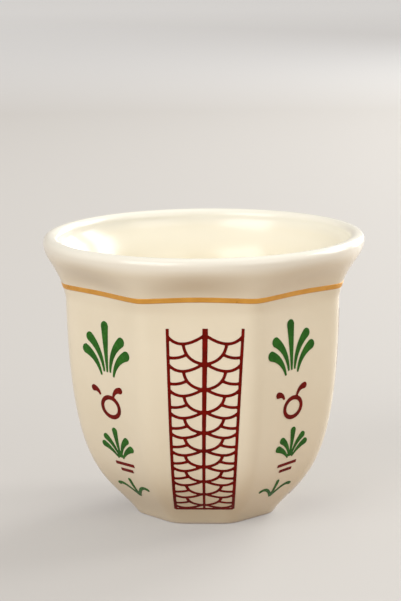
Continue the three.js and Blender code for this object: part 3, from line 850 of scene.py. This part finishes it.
green_enamel = enamel_material("fired_green_enamel", GREEN_COLOUR, GREEN_DEEP_COLOUR)
frond = fan(
    frond_foot, FROND_HEIGHT, FROND_SIDE_HEIGHT, FROND_SIDE_SPREAD, FROND_BEND_OUT,
    FROND_BASE_STEP, FROND_BASE_DROP, LEAF_WIDTH, LEAF_BASE_WIDTH,
)
lower_frond = fan(
    lower_frond_foot, LOWER_FROND_HEIGHT, LOWER_SIDE_HEIGHT, LOWER_SIDE_SPREAD, LOWER_BEND_OUT,
    LOWER_BASE_STEP, LOWER_BASE_DROP, LOWER_LEAF_WIDTH, LOWER_LEAF_BASE_WIDTH,
)
upper_stroke = level_stroke(UPPER_STROKE_LENGTH, upper_stroke_height)
lower_stroke = level_stroke(LOWER_STROKE_LENGTH, lower_stroke_height)
marks = {}
for count, leaf_stroke in enumerate(frond, start=1):
    marks[f"leaf_{count}"] = ("green_enamel", [leaf_stroke], FROND_STRAY)
marks["lower_frond"] = ("green_enamel", lower_frond, LOWER_FROND_STRAY)
marks["bottom_sprig"] = ("green_enamel", bottom_sprig(), BOTTOM_SPRIG_STRAY)
marks["free_drop"] = ("red_enamel", [free_drop()], RING_STRAY)
marks["ring"] = ("red_enamel", [ring(), ring_drop()], RING_STRAY)
marks["upper_stroke"] = ("red_enamel", [upper_stroke], STROKE_STRAY)
marks["lower_stroke"] = ("red_enamel", [lower_stroke], STROKE_STRAY)
enamels = {"green_enamel": green_enamel, "red_enamel": red_enamel}
for mark_name, (slot, strokes, strays) in marks.items():
    drawn_mark = draw_film(f"drawn_{mark_name}", strokes)
    for pair, (astray, lift) in enumerate(strays):
        node_name = f"sprig_{pair + 1}_{mark_name}"
        facet_angle = FACET_TURN * (2 * pair + 1)
        shift = SPRIG_SHIFT[pair] + astray
        by_hand = {"turn": SPRIG_TURN[pair], "stretch": SPRIG_STRETCH[pair]}
        mark = lay_film(drawn_mark, f"fired_{node_name}", facet_angle, shift, lift, **by_hand)
        dress(mark, enamels[slot], slot, node_name)
    bpy.data.objects.remove(drawn_mark)

# Floor: a plain pale floor that the cup stands on and that isn't part of it. The pale colours and the
# even glow are for the camera and for reflections, paler far from the lamps. The bounce colour keeps the
# light that the floor throws up under the cup low.
FLOOR_SIZE = 60
FLOOR_COLOUR = (0.30, 0.29, 0.275, 1)
FLOOR_FAR_COLOUR = (0.77, 0.82, 0.88, 1)
FLOOR_NEAR = 0.75
FLOOR_FAR = 1.6
FLOOR_GLOW_COLOUR = (0.27, 0.262, 0.254, 1)
FLOOR_BOUNCE_COLOUR = (0.38, 0.28, 0.20, 1)
FLOOR_ROUGHNESS = 0.7

bpy.ops.object.select_all(action="DESELECT")
bpy.ops.mesh.primitive_plane_add(size=FLOOR_SIZE)
floor = bpy.context.object
floor.name = "studio_floor"


def floor_material():
    material, node, link, shader = new_material("pale_floor")
    rays = node("ShaderNodeLightPath")
    mirrored = node("ShaderNodeMath", operation="ADD")
    link(rays.outputs["Is Glossy Ray"], mirrored.inputs[0])
    link(rays.outputs["Is Transmission Ray"], mirrored.inputs[1])
    seen = node("ShaderNodeMath", operation="ADD", use_clamp=True)
    link(rays.outputs["Is Camera Ray"], seen.inputs[0])
    link(mirrored.outputs[0], seen.inputs[1])
    place = node("ShaderNodeTexCoord").outputs["Object"]
    distance = node("ShaderNodeVectorMath", operation="LENGTH")
    link(place, distance.inputs[0])
    far = map_range(node, link, distance.outputs["Value"], FLOOR_NEAR, FLOOR_FAR)
    pale = mix_colours(node, link, FLOOR_COLOUR, FLOOR_FAR_COLOUR, far)
    shown = mix_colours(node, link, FLOOR_BOUNCE_COLOUR, pale, seen.outputs[0])
    link(shown, shader.inputs["Base Color"])
    shader.inputs["Roughness"].default_value = FLOOR_ROUGHNESS
    shader.inputs["Emission Color"].default_value = FLOOR_GLOW_COLOUR
    link(seen.outputs[0], shader.inputs["Emission Strength"])
    return material


floor.data.materials.append(floor_material())

# Light: a soft warm room all round, a large soft box in front on the left and weaker ones in front on the
# right and overhead, and two tall ones further back on the right, for the left of the well and the right
# edge of the cup.
LIGHT_TARGET = Vector((0, 0, 0.03))
WORLD_COLOUR = (1.0, 0.90, 0.80, 1)
WORLD_STRENGTH = 0.43
LIGHT_COLOUR = (1, 0.995, 0.98)
SOFT_BOXES = {
    "front_left_box": {"place": (-0.7, -0.9, 0.75), "size": (0.9, 0.9), "power": 11.1},
    "front_right_box": {"place": (0.8, -0.8, 0.65), "size": (0.8, 0.8), "power": 3.2},
    "right_box": {"place": (0.8, 0.35, 0.5), "size": (0.3, 0.6), "power": 4.2},
    "back_right_box": {"place": (0.55, 0.85, 0.35), "size": (0.4, 0.6), "power": 9.2},
    "top_box": {"place": (0, 0.1, 1.1), "size": (0.8, 0.8), "power": 1.6},
}

world = bpy.data.worlds.new("studio_world")
world.use_nodes = True
background = world.node_tree.nodes["Background"]
background.inputs["Color"].default_value = WORLD_COLOUR
background.inputs["Strength"].default_value = WORLD_STRENGTH
bpy.context.scene.world = world
for light_name, box in SOFT_BOXES.items():
    place = Vector(box["place"])
    facing = (LIGHT_TARGET - place).to_track_quat("-Z", "Y").to_euler()
    bpy.ops.object.light_add(type="AREA", location=place, rotation=facing)
    lamp = bpy.context.object
    lamp.name = light_name
    lamp.data.shape = "RECTANGLE"
    lamp.data.size, lamp.data.size_y = box["size"]
    lamp.data.energy = box["power"]
    lamp.data.color = LIGHT_COLOUR

# Camera: a long lens a little above the rim, in front of the facet with the first scale column. It is
# turned and tipped towards the cup, then aimed and rolled a little.
CAMERA_TARGET = Vector((0, 0, 0.028))
CAMERA_DISTANCE = 0.45
CAMERA_AZIMUTH = math.radians(2.6467)
CAMERA_ELEVATION = math.radians(13.0764)
AIM_LEFT = math.radians(0.1029)
AIM_UP = math.radians(1.8898)
CAMERA_ROLL = math.radians(-0.6261)
CAMERA_LENS = 131.4
CAMERA_CLIP_START = 0.01

camera_data = bpy.data.cameras.new("photo_camera")
camera_data.lens = CAMERA_LENS
camera_data.clip_start = CAMERA_CLIP_START
camera = bpy.data.objects.new("photo_camera", camera_data)
bpy.context.scene.collection.objects.link(camera)
reach = CAMERA_DISTANCE * math.cos(CAMERA_ELEVATION)
lift = CAMERA_DISTANCE * math.sin(CAMERA_ELEVATION)
turned = Matrix.Rotation(CAMERA_AZIMUTH + AIM_LEFT, 4, "Z")
raised = Matrix.Rotation(math.pi / 2 - CAMERA_ELEVATION + AIM_UP, 4, "X")
rolled = Matrix.Rotation(CAMERA_ROLL, 4, "Z")
stand = CAMERA_TARGET + round_place(CAMERA_AZIMUTH, reach, lift)
camera.matrix_world = Matrix.Translation(stand) @ turned @ raised @ rolled
bpy.context.scene.camera = camera
bpy.context.scene.view_settings.view_transform = "Standard"
